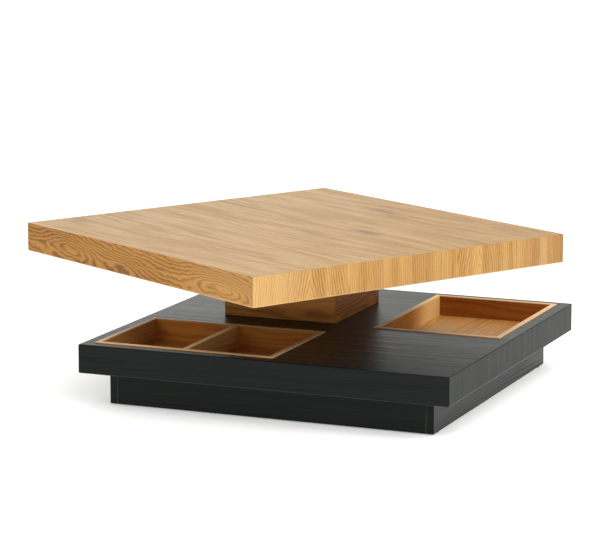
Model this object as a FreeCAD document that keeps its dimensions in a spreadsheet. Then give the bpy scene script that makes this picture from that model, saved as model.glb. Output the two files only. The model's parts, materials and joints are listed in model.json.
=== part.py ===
import FreeCAD, Part
import os
import re
import Sketcher

# Driving sizes in millimetres and degrees, each with what it measures.
SIZES = {
    "table_side": (800, "side of the square tabletop and of the square base slab"),
    "slab_thick": (60, "thickness of the tabletop and of the base slab"),
    "skin_thick": (12, "thickness of the folded face panels and edge rails"),
    "lining_thick": (10, "thickness of the panels let in underneath"),
    "base_arris": (2.5, "radius on the edges of the base slab"),
    "top_arris": (1.5, "radius on the edges of the tabletop"),
    "batten_width": (40, "width of the battens inside the slabs"),
    "plinth_setback": (48, "distance of the plinth from the slab edges"),
    "plinth_height": (69, "height of the plinth boards"),
    "plinth_thick": (16, "thickness of the plinth boards and brace"),
    "plinth_ease": (0.8, "chamfer along the edges of the plinth boards"),
    "glide_height": (2, "height of the floor glides"),
    "glide_size": (14, "diameter of the floor glides"),
    "glide_inset": (30, "distance of a glide from the end of its board"),
    "block_side": (40, "side of the plinth corner blocks"),
    "block_height": (45, "height of the plinth corner blocks"),
    "pivot_inset": (122, "distance of the swivel axis from the base centre, left and back"),
    "rest_angle": (29.7, "clockwise turn of the tabletop from its closed position"),
    "shelf_height": (145, "clear height between the base slab and the tabletop"),
    "pedestal_side": (255, "side of the square pedestal"),
    "pedestal_wall": (16, "thickness of the pedestal walls"),
    "pedestal_arris": (1, "radius on the edges of the pedestal"),
    "swivel_gap": (2, "running gap between the pedestal and the tabletop"),
    "board_thick": (18, "thickness of the board that carries the swivel"),
    "post_side": (30, "side of the posts inside the pedestal corners"),
    "tray_margin": (26, "distance of a tray from the slab edges"),
    "tray_clear": (90, "distance of a tray from the line of the pedestal face"),
    "tray_spacing": (76.5, "distance of a tray's end from the line of the other tray's side"),
    "tray_wall": (11, "thickness of the tray walls and divider"),
    "tray_floor": (6, "thickness of the tray floors"),
    "tray_foot": (2, "height of a tray floor above its support"),
    "tray_proud": (2, "height of the tray rims above the slab face"),
    "tray_gap": (1.2, "gap around a tray in its cut-out"),
    "tray_groove": (5, "depth of the floor groove and of the divider housings"),
    "tray_ease": (1, "radius on the tray rims"),
    "plate_width": (130, "width of the square swivel plates"),
    "plate_thick": (2.5, "thickness of the swivel plates"),
    "plate_corner": (12, "corner radius of the swivel plates"),
    "plate_gap": (5, "gap between the swivel plates"),
    "plate_inset": (12, "distance of a plate screw from the plate edges"),
    "race_radius": (46, "radius of the ball circle"),
    "ball_size": (7, "diameter of the balls"),
    "ball_count": (8, "number of balls"),
    "race_play": (0.2, "play of a ball in its race and in its cage"),
    "cage_width": (15, "width of the cage ring"),
    "cage_thick": (2.4, "thickness of the cage ring"),
    "mount_width": (200, "width of the block over the swivel"),
    "bolt_size": (12, "diameter of the pivot bolt"),
    "bolt_head": (24, "diameter of the pivot bolt's head"),
    "bolt_cap": (5, "height of the pivot bolt's head"),
    "bolt_tail": (3, "length of the pivot bolt below its nut"),
    "head_room": (2, "room around the pivot bolt's head"),
    "bush_wall": (3, "wall of the pivot bush"),
    "bush_flange": (1.5, "thickness and reach of the pivot bush's flange"),
    "thrust_thick": (1.5, "thickness of the thrust washer"),
    "washer_thick": (2, "thickness of the washer under the nut"),
    "washer_rim": (7, "reach of the washer beyond the bolt"),
    "nut_flats": (19, "width of the pivot nut across its flats"),
    "nut_height": (10, "height of the pivot nut"),
    "running_fit": (0.3, "clearance of turning fits"),
    "fixed_fit": (0.1, "clearance of fixed fits"),
    "plate_screw": (4.5, "diameter of the plate screws"),
    "plate_screw_head": (8.5, "diameter of the plate screws' heads"),
    "plate_screw_length": (18, "length of the plate screws"),
    "frame_screw": (5, "diameter of the frame screws"),
    "frame_screw_head": (10, "diameter of the frame screws' heads"),
    "post_bite": (30, "length of a frame screw inside a post"),
    "plinth_bite": (8, "length of a plinth screw inside the slab"),
}

# Levels and places that follow from the driving sizes.
DERIVED = {
    "slab_floor": "glide_height + plinth_height",
    "slab_face": "slab_floor + slab_thick",
    "top_floor": "slab_face + shelf_height",
    "core_height": "slab_thick - skin_thick - lining_thick",
    "lining_side": "table_side - 2 * skin_thick",
    "plinth_side": "table_side - 2 * plinth_setback",
    "pivot_x": "-pivot_inset",
    "pivot_y": "pivot_inset",
    "top_x": "pivot_inset",
    "top_y": "-pivot_inset",
    "upper_plate_floor": "top_floor - plate_thick",
    "lower_plate_face": "upper_plate_floor - plate_gap",
    "board_face": "lower_plate_face - plate_thick",
    "board_floor": "board_face - board_thick",
    "race_level": "upper_plate_floor - plate_gap / 2",
    "race_depth": "ball_size / 2 + race_play - plate_gap / 2",
    "race_bed": "(ball_size / 2 + race_play) * (sqrt(2) - 1)",
    "head_floor": "top_floor + thrust_thick + running_fit",
    "bush_radius": "bolt_size / 2 + running_fit + bush_wall",
    "post_place": "pedestal_side / 2 - pedestal_wall - post_side / 2",
    "plate_screw_place": "plate_width / 2 - plate_inset",
    "block_place": "plinth_side / 2 - plinth_thick - block_side / 2",
    "tray_bottom": "slab_floor + lining_thick",
    "tray_height": "slab_face + tray_proud - tray_bottom",
    "tray_far": "table_side / 2 - tray_margin",
    "tray_near": "tray_clear - support_near",
    "tray_width": "tray_far - tray_near",
    "tray_length": "tray_far + tray_near - tray_spacing",
    "tray_depth_place": "tray_far - tray_width / 2",
    "tray_run_place": "tray_far - tray_length / 2",
    "support_near": "pivot_inset - pedestal_side / 2",
    "support_far": "pivot_inset + pedestal_side / 2",
}

SIDES = ("front", "right", "back", "left")
OUTWARD = {"front": (0, -1), "right": (1, 0), "back": (0, 1), "left": (-1, 0)}
CORNERS = [(across, along) for across in ("-", "") for along in ("-", "")]
UP = FreeCAD.Vector(0, 0, 1)
SIDEWAYS = FreeCAD.Vector(1, 0, 0)
TINY = 0.01

doc = FreeCAD.newDocument("swivel_coffee_table")
sheet = doc.addObject("Spreadsheet::Sheet", "sizes")
for row, (alias, (size, meaning)) in enumerate(SIZES.items(), start=1):
    sheet.set(f"A{row}", meaning)
    sheet.set(f"B{row}", str(size))
    sheet.setAlias(f"B{row}", alias)
doc.recompute()
pieces = []


# Formulas, placing and naming

def formula(text):
    """Spell out the derived names and point the driving names at the sheet."""
    def spell(match):
        word = match.group(0)
        if word in DERIVED:
            return "(" + formula(DERIVED[word]) + ")"
        return "sizes." + word if word in SIZES else word
    return re.sub(r"[a-z_]+", spell, text)


def value(text):
    return float(sheet.evalExpression(formula(text)))


def bind(thing, **formulas):
    for name, text in formulas.items():
        thing.setExpression(name, formula(text))
    return thing


def move(thing, x="0", y="0", z="0"):
    for axis, text in zip("xyz", (x, y, z)):
        thing.setExpression(f"Placement.Base.{axis}", formula(text))
    return thing


def turned(thing, axis, degrees):
    thing.Placement = FreeCAD.Placement(FreeCAD.Vector(), FreeCAD.Rotation(axis, degrees))
    return thing


def piece(thing, label):
    """Name a finished piece that stands in the table's own frame."""
    thing.Label = label
    pieces.append(thing)
    return thing


def top_piece(thing, label):
    """Name a finished piece drawn about the swivel axis, and turn it with the tabletop."""
    move(thing, "pivot_x", "pivot_y")
    thing.setExpression("Placement.Rotation.Angle", formula("-rest_angle"))
    return piece(thing, label)


# Plain solids and how they are cut and grouped

def brick(name, x, y, z, length, width, height):
    """A rectangular piece centred on x, y, with its underside at z."""
    made = bind(doc.addObject("Part::Box", name), Length=length, Width=width, Height=height)
    return move(made, f"{x} - ({length}) / 2", f"{y} - ({width}) / 2", z)


def cut(name, base, *tools):
    for tool in tools:
        made = doc.addObject("Part::Cut", name)
        made.Base = base
        made.Tool = tool
        base = made
    return base


def common(name, base, tool):
    made = doc.addObject("Part::Common", name)
    made.Base = base
    made.Tool = tool
    return made


def group(name, members):
    made = doc.addObject("Part::Compound", name)
    made.Links = members
    return made


def copies(name, master, places, z, down=False):
    """Copies of one small piece at several places, as one group."""
    made = []
    for x, y in places:
        link = doc.addObject("App::Link", name + "_copy")
        link.LinkedObject = master
        turned(link, SIDEWAYS, 180 if down else 0)
        made.append(move(link, x, y, z))
    return group(name, made)


# Sketched bodies

def sketch(body, role="XY_Plane"):
    drawn = body.newObject("Sketcher::SketchObject", "sketch")
    plane = next(p for p in body.Origin.OriginFeatures if p.Role == role)
    drawn.AttachmentSupport = [(plane, "")]
    drawn.MapMode = "FlatFace"
    return drawn


def hold(drawn, kind, shape, point, text, axis):
    """Fix one coordinate of a point, on the axis or at a distance from the origin."""
    if text == "0":
        drawn.addConstraint(Sketcher.Constraint("PointOnObject", shape, point, axis))
        return
    index = drawn.addConstraint(Sketcher.Constraint(kind, -1, 1, shape, point, value(text)))
    drawn.setExpression(f"Constraints[{index}]", formula(text))


def outline(drawn, corners):
    """A closed outline through corners that are given as pairs of formulas."""
    points = [FreeCAD.Vector(value(x), value(y), 0) for x, y in corners]
    first = drawn.GeometryCount
    following = [first + (i + 1) % len(points) for i in range(len(points))]
    for i, start in enumerate(points):
        drawn.addGeometry(Part.LineSegment(start, points[following[i] - first]), False)
    for i, (x, y) in enumerate(corners):
        drawn.addConstraint(Sketcher.Constraint("Coincident", first + i, 2, following[i], 1))
        hold(drawn, "DistanceX", first + i, 1, x, -2)
        hold(drawn, "DistanceY", first + i, 1, y, -1)


def circle(drawn, radius, x="0"):
    """A circle on the sketch's first axis, at x from the origin."""
    ring = Part.Circle(FreeCAD.Vector(value(x), 0, 0), UP, value(radius))
    shape = drawn.addGeometry(ring, False)
    index = drawn.addConstraint(Sketcher.Constraint("Radius", shape, value(radius)))
    drawn.setExpression(f"Constraints[{index}]", formula(radius))
    hold(drawn, "DistanceX", shape, 3, x, -2)
    hold(drawn, "DistanceY", shape, 3, "0", -1)


def pad(body, drawn, length):
    grown = body.newObject("PartDesign::Pad", "pad")
    grown.Profile = drawn
    return bind(grown, Length=length)


def revolve(body, drawn, kind="PartDesign::Revolution"):
    spun = body.newObject(kind, "turning")
    spun.Profile = drawn
    spun.ReferenceAxis = (drawn, ["V_Axis"])
    spun.Angle = 360
    return spun


def soften(body, feature, kind, size, wanted=None):
    """Round or chamfer the edges of a feature that wanted picks, or all of them."""
    doc.recompute()
    edges = [f"Edge{i}" for i, edge in enumerate(feature.Shape.Edges, start=1)
             if wanted is None or wanted(edge)]
    eased = body.newObject(f"PartDesign::{kind}", "easing")
    eased.Base = (feature, edges)
    bind(eased, **{"Radius" if kind == "Fillet" else "Size": size})
    return eased


def corner_edge(edge):
    """An upright edge at a corner of a square that is centred on the origin."""
    box = edge.BoundBox
    return max(box.XLength, box.YLength) < TINY and abs(abs(box.XMin) - abs(box.YMin)) < TINY


def board(name, length, width, height, kind, ease, wanted=None):
    """A rectangular body centred on its own axis, with all its edges eased or those that wanted picks."""
    body = doc.addObject("PartDesign::Body", name)
    plan = sketch(body)
    x, y = f"({length}) / 2", f"({width}) / 2"
    outline(plan, [(f"-{x}", f"-{y}"), (x, f"-{y}"), (x, y), (f"-{x}", y)])
    soften(body, pad(body, plan, height), kind, ease, wanted)
    return body


def ring(name, outer, inner, height):
    body = doc.addObject("PartDesign::Body", name)
    plan = sketch(body)
    circle(plan, outer)
    circle(plan, inner)
    pad(body, plan, height)
    return body


def turned_body(name, profile):
    """A body turned about its own axis, from corners given as radius and level."""
    body = doc.addObject("PartDesign::Body", name)
    drawn = sketch(body, "XZ_Plane")
    outline(drawn, profile)
    revolve(body, drawn)
    return body


# Mitred frames

def mitred_board(name, length, thick, height, ease=None):
    """An upright board with mitred ends, outer face on its own y = 0 plane."""
    body = doc.addObject("PartDesign::Body", name)
    plan = sketch(body)
    half = f"({length}) / 2"
    outline(plan, [(f"-{half}", "0"), (half, "0"),
                   (f"{half} - {thick}", thick), (f"-{half} + {thick}", thick)])
    grown = pad(body, plan, height)
    if ease:
        soften(body, grown, "Fillet", ease, rim_edge)
    return body


def rim_edge(edge):
    """A long edge along the top of an upright board, which stands on its own z = 0 plane."""
    box = edge.BoundBox
    spans = sorted((box.XLength, box.YLength))
    return box.ZMin > TINY and box.ZLength < TINY and spans[0] < TINY and spans[1] > 2 * value("tray_wall")


def mitred_frame(name, x, y, z, length, width, thick, height, ease=None):
    """Four mitred boards round a rectangle centred on x, y, by the side that each one is on."""
    boards = {}
    for quarter, side in enumerate(SIDES):
        run, reach = (length, width) if quarter % 2 == 0 else (width, length)
        made = turned(mitred_board(f"{name}_{side}", run, thick, height, ease), UP, 90 * quarter)
        out_x, out_y = OUTWARD[side]
        move(made, f"{x} + {out_x} * ({reach}) / 2", f"{y} + {out_y} * ({reach}) / 2", z)
        boards[side] = made
    return boards


def rounded_envelope(name, x, y, z, side, height, arris):
    return move(board(name, side, side, height, "Fillet", arris), x, y, z)


def folded_slab(name, x, y, floor, arris):
    """A square slab folded from one sheet: the face panel and the rails mitred to it."""
    envelope = rounded_envelope(f"{name}_envelope", x, y, floor, "table_side", "slab_thick", arris)
    sheet_panel = doc.addObject("Part::Wedge", f"{name}_sheet")
    low, high = "-table_side / 2", "table_side / 2"
    bind(sheet_panel, Ymin="0", Ymax="skin_thick", X2min=low, Z2min=low, X2max=high, Z2max=high)
    bind(sheet_panel, Xmin=f"{low} + skin_thick", Zmin=f"{low} + skin_thick")
    bind(sheet_panel, Xmax=f"{high} - skin_thick", Zmax=f"{high} - skin_thick")
    turned(sheet_panel, SIDEWAYS, 90)
    move(sheet_panel, x, y, f"{floor} + slab_thick - skin_thick")
    frame = mitred_frame(f"{name}_rail", x, y, floor, "table_side", "table_side",
                         "skin_thick", "slab_thick")
    rails = {}
    for side, rail in frame.items():
        folded = cut(f"{name}_fold_{side}", rail, sheet_panel)
        rails[side] = common(f"{name}_edge_{side}", folded, envelope)
    return common(f"{name}_face", sheet_panel, envelope), rails


# Screws

def screw(name, head, shank, length, spare):
    """A countersunk screw standing on its head, widened by spare for its hole."""
    neck = f"({head} - {shank}) / 2"
    cone = bind(doc.addObject("Part::Cone", name + "_head"), Height=neck,
                Radius1=f"{head} / 2 + {spare}", Radius2=f"{shank} / 2 + {spare}")
    stem = bind(doc.addObject("Part::Cylinder", name + "_stem"), Radius=f"{shank} / 2 + {spare}",
                Height=f"{length} - {neck} + {spare}")
    move(stem, z=neck)
    made = doc.addObject("Part::Fuse", name)
    made.Base = cone
    made.Tool = stem
    return made


def screws(name, head, shank, length, places, z, down=False):
    """A group of screws and the group of holes that they sit in."""
    made = []
    for suffix, spare in (("", "0"), ("_holes", "fixed_fit")):
        master = screw(f"{name}_one{suffix}", head, shank, length, spare)
        made.append(copies(f"{name}_set{suffix}", master, places, z, down))
    return made


def around(x, y, reach):
    """Four places about x, y, each at reach along both axes."""
    return [(f"{x} {across or '+'} ({reach})", f"{y} {along or '+'} ({reach})")
            for across, along in CORNERS]


# Plinth

def plinth():
    inner = "plinth_side - 2 * plinth_thick"
    reach = "(plinth_side - plinth_thick) / 2"
    for side in SIDES:
        out_x, out_y = OUTWARD[side]
        length = inner if out_y else "plinth_thick"
        width = "plinth_thick" if out_y else "plinth_side"
        made = board(f"plinth_{side}", length, width, "plinth_height", "Chamfer", "plinth_ease")
        move(made, f"{out_x} * {reach}", f"{out_y} * {reach}", "glide_height")
        piece(made, f"plinth_{side}_board")
    brace = board("plinth_brace", "plinth_thick", inner, "plinth_height", "Chamfer", "plinth_ease")
    piece(move(brace, z="glide_height"), "plinth_centre_brace")

    blocks_floor = "slab_floor - block_height"
    places = around("0", "0", "block_place")
    fixing, holes = screws("plinth_fixing", "frame_screw_head", "frame_screw",
                           "block_height + plinth_bite", places, blocks_floor)
    blocks = [brick("plinth_block", x, y, blocks_floor, "block_side", "block_side", "block_height")
              for x, y in places]
    piece(cut("plinth_blocks", group("plinth_block_set", blocks), holes), "plinth_corner_blocks")
    piece(fixing, "plinth_fixing_screws")

    glide = bind(doc.addObject("Part::Cylinder", "glide"), Radius="glide_size / 2", Height="glide_height")
    ends = [(f"{across}{reach}", f"{along}(plinth_side / 2 - glide_inset)")
            for across, along in CORNERS]
    piece(copies("glides", glide, ends + [("0", "0")], "0"), "floor_glides")
    return holes


# Base slab with its trays

def tray_spaces():
    """Centre and plan size of the divided tray at the front and the open tray at the back."""
    return {
        "divided_tray": ("-tray_run_place", "-tray_depth_place", "tray_length", "tray_width"),
        "open_tray": ("tray_depth_place", "tray_run_place", "tray_width", "tray_length"),
    }


def base_slab(plinth_holes, pedestal_holes):
    face, rails = folded_slab("slab", "0", "0", "slab_floor", "base_arris")
    wells = [brick(f"{name}_well", x, y, "slab_floor", f"{length} + 2 * tray_gap",
                   f"{width} + 2 * tray_gap", "slab_thick + tray_proud")
             for name, (x, y, length, width) in tray_spaces().items()]
    piece(cut("slab_opened", face, *wells, pedestal_holes), "slab_top_panel")
    for side, rail in rails.items():
        piece(rail, f"slab_{side}_rail")
    lining = brick("slab_lining", "0", "0", "slab_floor", "lining_side", "lining_side", "lining_thick")
    piece(cut("slab_lined", lining, plinth_holes, pedestal_holes), "slab_bottom_panel")
    support = brick("slab_support", "pivot_x", "pivot_y", "tray_bottom",
                    "pedestal_side", "pedestal_side", "core_height")
    piece(cut("slab_supported", support, pedestal_holes), "slab_support_block")

    rail_face = "lining_side / 2"
    beside_tray = "(tray_near - tray_gap - support_near) / 2"
    beside_rail = f"({rail_face} + support_far) / 2"
    inner_end = f"{beside_tray} + batten_width / 2"
    across_length = f"{rail_face} + {inner_end}"
    along_length = f"{rail_face} + {beside_tray} - batten_width / 2"
    battens = [
        brick("slab_cross_batten", f"({inner_end} - {rail_face}) / 2", f"-{beside_tray}",
              "tray_bottom", across_length, "batten_width", "core_height"),
        brick("slab_long_batten", beside_tray, f"{rail_face} - ({along_length}) / 2",
              "tray_bottom", "batten_width", along_length, "core_height"),
        brick("slab_edge_batten", f"-{beside_rail}", f"{rail_face} - ({along_length}) / 2",
              "tray_bottom", "batten_width", along_length, "core_height"),
    ]
    piece(group("slab_batten_set", battens), "slab_core_battens")


def tray(name, x, y, length, width, divided):
    """A box of four mitred walls grooved for its floor, with or without a divider."""
    floor = brick(f"{name}_sheet", x, y, "tray_bottom + tray_foot",
                  f"{length} - 2 * tray_wall + 2 * tray_groove",
                  f"{width} - 2 * tray_wall + 2 * tray_groove", "tray_floor")
    tools = [floor]
    if divided:
        rise = "tray_foot + tray_floor"
        divider = board(f"{name}_partition", "tray_wall",
                        f"{width} - 2 * tray_wall + 2 * tray_groove",
                        f"tray_height - ({rise})", "Fillet", "tray_ease", rim_edge)
        move(divider, x, y, f"tray_bottom + {rise}")
        tools.append(divider)
        piece(divider, f"{name}_divider")
    frame = mitred_frame(f"{name}_frame", x, y, "tray_bottom", length, width,
                         "tray_wall", "tray_height", "tray_ease")
    for side, wall in frame.items():
        piece(cut(f"{name}_{side}", wall, *tools), f"{name}_{side}_wall")
    piece(floor, f"{name}_floor")


# Pedestal

def pedestal():
    height = "shelf_height - swivel_gap"
    envelope = rounded_envelope("pedestal_envelope", "pivot_x", "pivot_y", "slab_face",
                                "pedestal_side", height, "pedestal_arris")
    frame = mitred_frame("pedestal_frame", "pivot_x", "pivot_y", "slab_face",
                         "pedestal_side", "pedestal_side", "pedestal_wall", height)
    for side, wall in frame.items():
        piece(common(f"pedestal_{side}", wall, envelope), f"pedestal_{side}_wall")

    places = around("pivot_x", "pivot_y", "post_place")
    fixing, fixing_holes = screws("pedestal_fixing", "frame_screw_head", "frame_screw",
                                  "slab_thick + post_bite", places, "slab_floor")
    posts = [brick("pedestal_post", x, y, "slab_face", "post_side", "post_side",
                   "board_floor - slab_face") for x, y in places]
    drilled = cut("pedestal_posts", group("pedestal_post_set", posts), fixing_holes)
    piece(drilled, "pedestal_corner_posts")
    piece(fixing, "pedestal_fixing_screws")
    return fixing_holes


# Swivel

def swivel_plate(name, bore, race_face, inward):
    """A square pressed plate with a flat-bottomed ball race, cut inward from one face."""
    body = doc.addObject("PartDesign::Body", name)
    plan = sketch(body)
    reach = "plate_width / 2"
    outline(plan, [(f"-{reach}", f"-{reach}"), (reach, f"-{reach}"), (reach, reach), (f"-{reach}", reach)])
    circle(plan, bore)
    soften(body, pad(body, plan, "plate_thick"), "Fillet", "plate_corner", corner_edge)
    race = sketch(body, "XZ_Plane")
    bed = f"{race_face} {inward} race_depth"
    outline(race, [("race_radius - race_bed - race_depth", race_face), ("race_radius - race_bed", bed),
                   ("race_radius + race_bed", bed), ("race_radius + race_bed + race_depth", race_face)])
    revolve(body, race, "PartDesign::Groove")
    return body


def swivel_base():
    """Lower plate and pivot, fixed to the board inside the pedestal."""
    places = around("pivot_x", "pivot_y", "plate_screw_place")
    fixing, holes = screws("lower_plate_fixing", "plate_screw_head", "plate_screw",
                           "plate_screw_length", places, "lower_plate_face", down=True)
    plate = swivel_plate("lower_plate", "bolt_size / 2 + fixed_fit", "plate_thick", "-")
    move(plate, "pivot_x", "pivot_y", "board_face")
    piece(cut("lower_plate_drilled", plate, holes), "swivel_lower_plate")
    piece(fixing, "lower_plate_screws")

    inner = "pedestal_side - 2 * pedestal_wall"
    carrier = brick("pedestal_carrier", "pivot_x", "pivot_y", "board_floor", inner, inner, "board_thick")
    bore = bind(doc.addObject("Part::Cylinder", "carrier_bore"),
                Radius="bolt_size / 2 + fixed_fit", Height="board_thick")
    move(bore, "pivot_x", "pivot_y", "board_floor")
    piece(cut("pedestal_board", carrier, bore, holes), "pedestal_top_board")

    washer = ring("washer", "bolt_size / 2 + washer_rim", "bolt_size / 2 + fixed_fit", "washer_thick")
    piece(move(washer, "pivot_x", "pivot_y", "board_floor - washer_thick"), "pivot_washer")
    nut = doc.addObject("PartDesign::Body", "nut")
    plan = sketch(nut)
    outline(plan, [(f"nut_flats / sqrt(3) * cos({60 * i + 30})", f"nut_flats / sqrt(3) * sin({60 * i + 30})")
                   for i in range(6)])
    circle(plan, "bolt_size / 2 + fixed_fit")
    pad(nut, plan, "nut_height")
    piece(move(nut, "pivot_x", "pivot_y", "board_floor - washer_thick - nut_height"), "pivot_nut")
    tail = "board_floor - washer_thick - nut_height - bolt_tail - (head_floor)"
    bolt = turned_body("bolt", [("0", tail), ("bolt_size / 2", tail), ("bolt_size / 2", "0"),
                                ("bolt_head / 2", "0"), ("bolt_head / 2", "bolt_cap"),
                                ("0", "bolt_cap")])
    piece(move(bolt, "pivot_x", "pivot_y", "head_floor"), "pivot_bolt")


def ball_ring():
    """Cage and balls, which run between the two plates."""
    cage = doc.addObject("PartDesign::Body", "cage")
    plan = sketch(cage)
    circle(plan, "race_radius + cage_width / 2")
    circle(plan, "race_radius - cage_width / 2")
    pad(cage, plan, "cage_thick")
    pocket_plan = sketch(cage)
    circle(pocket_plan, "ball_size / 2 + race_play", "race_radius")
    pocket = cage.newObject("PartDesign::Pocket", "ball_hole")
    pocket.Profile = pocket_plan
    pocket.Type = "ThroughAll"
    pocket.Reversed = True
    pattern = cage.newObject("PartDesign::PolarPattern", "ball_holes")
    pattern.Originals = [pocket]
    pattern.Axis = (pocket_plan, ["N_Axis"])
    pattern.Angle = 360
    bind(pattern, Occurrences="ball_count")
    cage.Tip = pattern
    piece(move(cage, "pivot_x", "pivot_y", "race_level - cage_thick / 2"), "ball_cage")

    ball = bind(doc.addObject("Part::Sphere", "ball"), Radius="ball_size / 2")
    places = [(f"race_radius * cos(360 * {i} / ball_count)", f"race_radius * sin(360 * {i} / ball_count)")
              for i in range(round(value("ball_count")))]
    balls = copies("balls", ball, places, "0")
    piece(move(balls, "pivot_x", "pivot_y", "race_level"), "bearing_balls")


def swivel_top():
    """Upper plate, bush and thrust washer, which turn with the tabletop."""
    places = around("0", "0", "plate_screw_place")
    fixing, holes = screws("upper_plate_fixing", "plate_screw_head", "plate_screw",
                           "plate_screw_length", places, "upper_plate_floor")
    plate = swivel_plate("upper_plate", "bush_radius + fixed_fit", "0", "+")
    move(plate, z="upper_plate_floor")
    top_piece(cut("upper_plate_drilled", plate, holes), "swivel_upper_plate")
    top_piece(fixing, "upper_plate_screws")

    bore = "bolt_size / 2 + running_fit"
    bush = turned_body("bush", [(bore, "-bush_flange"), ("bush_radius + bush_flange", "-bush_flange"),
                                ("bush_radius + bush_flange", "0"), ("bush_radius", "0"),
                                ("bush_radius", "plate_thick"), (bore, "plate_thick")])
    top_piece(group("bush_set", [move(bush, z="upper_plate_floor")]), "pivot_bush")
    washer = ring("thrust", "bolt_head / 2", bore, "thrust_thick")
    top_piece(group("thrust_set", [move(washer, z="top_floor")]), "thrust_washer")
    return holes


# Tabletop

def tabletop(plate_holes):
    face, rails = folded_slab("top", "top_x", "top_y", "top_floor", "top_arris")
    top_piece(face, "tabletop_upper_panel")
    for side, rail in rails.items():
        top_piece(rail, f"tabletop_{side}_rail")
    lining = brick("top_lining", "top_x", "top_y", "top_floor", "lining_side", "lining_side",
                   "lining_thick")
    head_bore = bind(doc.addObject("Part::Cylinder", "head_bore"),
                     Radius="bolt_head / 2 + head_room", Height="lining_thick")
    move(head_bore, z="top_floor")
    top_piece(cut("top_lined", lining, head_bore, plate_holes), "tabletop_lower_panel")

    core_floor = "top_floor + lining_thick"
    block = brick("top_block", "0", "0", core_floor, "mount_width", "mount_width", "core_height")
    top_piece(cut("top_blocked", block, plate_holes), "swivel_mounting_block")

    front_face = "top_y - lining_side / 2"
    back_face = "top_y + lining_side / 2"
    lines = [f"({back_face} + mount_width / 2) / 2", f"({front_face} - mount_width / 2) / 2"]
    battens = [brick("top_batten", "top_x", line, core_floor, "lining_side", "batten_width", "core_height")
               for line in lines]
    top_piece(group("top_batten_set", battens), "tabletop_core_battens")


def check_document():
    """Stop if any object failed or any piece came out empty or unsound."""
    doc.recompute()
    failed = [thing.Name for thing in doc.Objects if {"Invalid", "Error"} & set(thing.State)]
    unsound = [thing.Label for thing in pieces if thing.Shape.isNull() or not thing.Shape.isValid()]
    if failed or unsound:
        raise RuntimeError(f"failed objects {failed}, unsound pieces {unsound}")


plinth_holes = plinth()
pedestal_holes = pedestal()
base_slab(plinth_holes, pedestal_holes)
for tray_name, (tray_x, tray_y, tray_run, tray_reach) in tray_spaces().items():
    tray(tray_name, tray_x, tray_y, tray_run, tray_reach, tray_name == "divided_tray")
swivel_base()
ball_ring()
tabletop(swivel_top())
check_document()

os.makedirs("parts", exist_ok=True)
for finished in pieces:
    finished.Shape.exportStep(f"parts/{finished.Label}.step")
    print(finished.Label, len(finished.Shape.Solids), round(finished.Shape.Volume))
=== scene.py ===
# %% [markdown]
# # A coffee table whose oak top swivels over a black base
# The table comes in as a fixed frame: every board, screw and bearing ball already has its true size
# and place. This lesson dresses it. We give each board the veneer or stain that it has on the real
# table, turn plain pins into real screws, and then light it all like a catalogue picture.

# %% Load the frame
import json
import math

import bpy
import bmesh
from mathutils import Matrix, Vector


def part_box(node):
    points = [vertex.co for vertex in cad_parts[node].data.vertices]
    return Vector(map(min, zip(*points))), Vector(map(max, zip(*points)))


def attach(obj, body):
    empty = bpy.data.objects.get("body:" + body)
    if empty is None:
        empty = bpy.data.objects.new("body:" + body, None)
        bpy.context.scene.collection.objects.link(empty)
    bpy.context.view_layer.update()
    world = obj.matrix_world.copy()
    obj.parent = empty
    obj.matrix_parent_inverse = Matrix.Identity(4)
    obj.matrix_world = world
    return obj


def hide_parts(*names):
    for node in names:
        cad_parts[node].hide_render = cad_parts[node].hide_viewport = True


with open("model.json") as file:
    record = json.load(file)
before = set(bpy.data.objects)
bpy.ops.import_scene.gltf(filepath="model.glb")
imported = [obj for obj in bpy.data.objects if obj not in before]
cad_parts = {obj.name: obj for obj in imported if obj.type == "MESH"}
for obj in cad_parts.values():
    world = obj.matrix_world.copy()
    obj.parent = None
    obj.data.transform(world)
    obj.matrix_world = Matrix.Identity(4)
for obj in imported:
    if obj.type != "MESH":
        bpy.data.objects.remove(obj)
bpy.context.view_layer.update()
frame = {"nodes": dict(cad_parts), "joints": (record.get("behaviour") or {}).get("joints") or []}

nodes = frame["nodes"]
swivel = next(joint for joint in frame["joints"] if joint["name"] == "tabletop_swivel")
PIVOT = Vector(swivel["pos_m"])

# %% [markdown]
# ## The camera
# The picture was taken from the front right with a long lens, so upright edges stay almost parallel.
# A camera can be placed by its three coordinates. Here it stands on a sphere about the middle of the
# table instead, because an azimuth, an elevation and a distance are easier to reason about. The focal
# length is written in pixels of the picture, then turned into millimetres for a 36 mm sensor.

# %% Camera
PICTURE_WIDTH = 600
FOCAL_PIXELS = 2762.8
SENSOR_MM = 36.0
LOOK_AT = Vector((-0.0776, 0.0, 0.2468))
CAMERA_AZIMUTH = math.radians(22.62)
CAMERA_ELEVATION = math.radians(10.33)
CAMERA_DISTANCE = 5.835

camera_data = bpy.data.cameras.new("camera")
camera_data.sensor_fit = "HORIZONTAL"
camera_data.sensor_width = SENSOR_MM
camera_data.lens = SENSOR_MM * FOCAL_PIXELS / PICTURE_WIDTH
camera = bpy.data.objects.new("camera", camera_data)
bpy.context.scene.collection.objects.link(camera)
outward = Vector((
    math.sin(CAMERA_AZIMUTH) * math.cos(CAMERA_ELEVATION),
    -math.cos(CAMERA_AZIMUTH) * math.cos(CAMERA_ELEVATION),
    math.sin(CAMERA_ELEVATION),
))
camera.location = LOOK_AT + CAMERA_DISTANCE * outward
camera.rotation_euler = (math.pi / 2 - CAMERA_ELEVATION, 0.0, CAMERA_AZIMUTH)
bpy.context.scene.camera = camera
print("lens", round(camera_data.lens, 1), "mm")

# %% [markdown]
# ## Colours
# We write a colour as it looks on screen, from 0 to 255 for red, green and blue, because that is how
# a picture is judged. The renderer adds up light and needs linear values. Blender's colour picker
# converts by itself, but a script has to do it, so this helper follows the usual screen curve.

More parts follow.
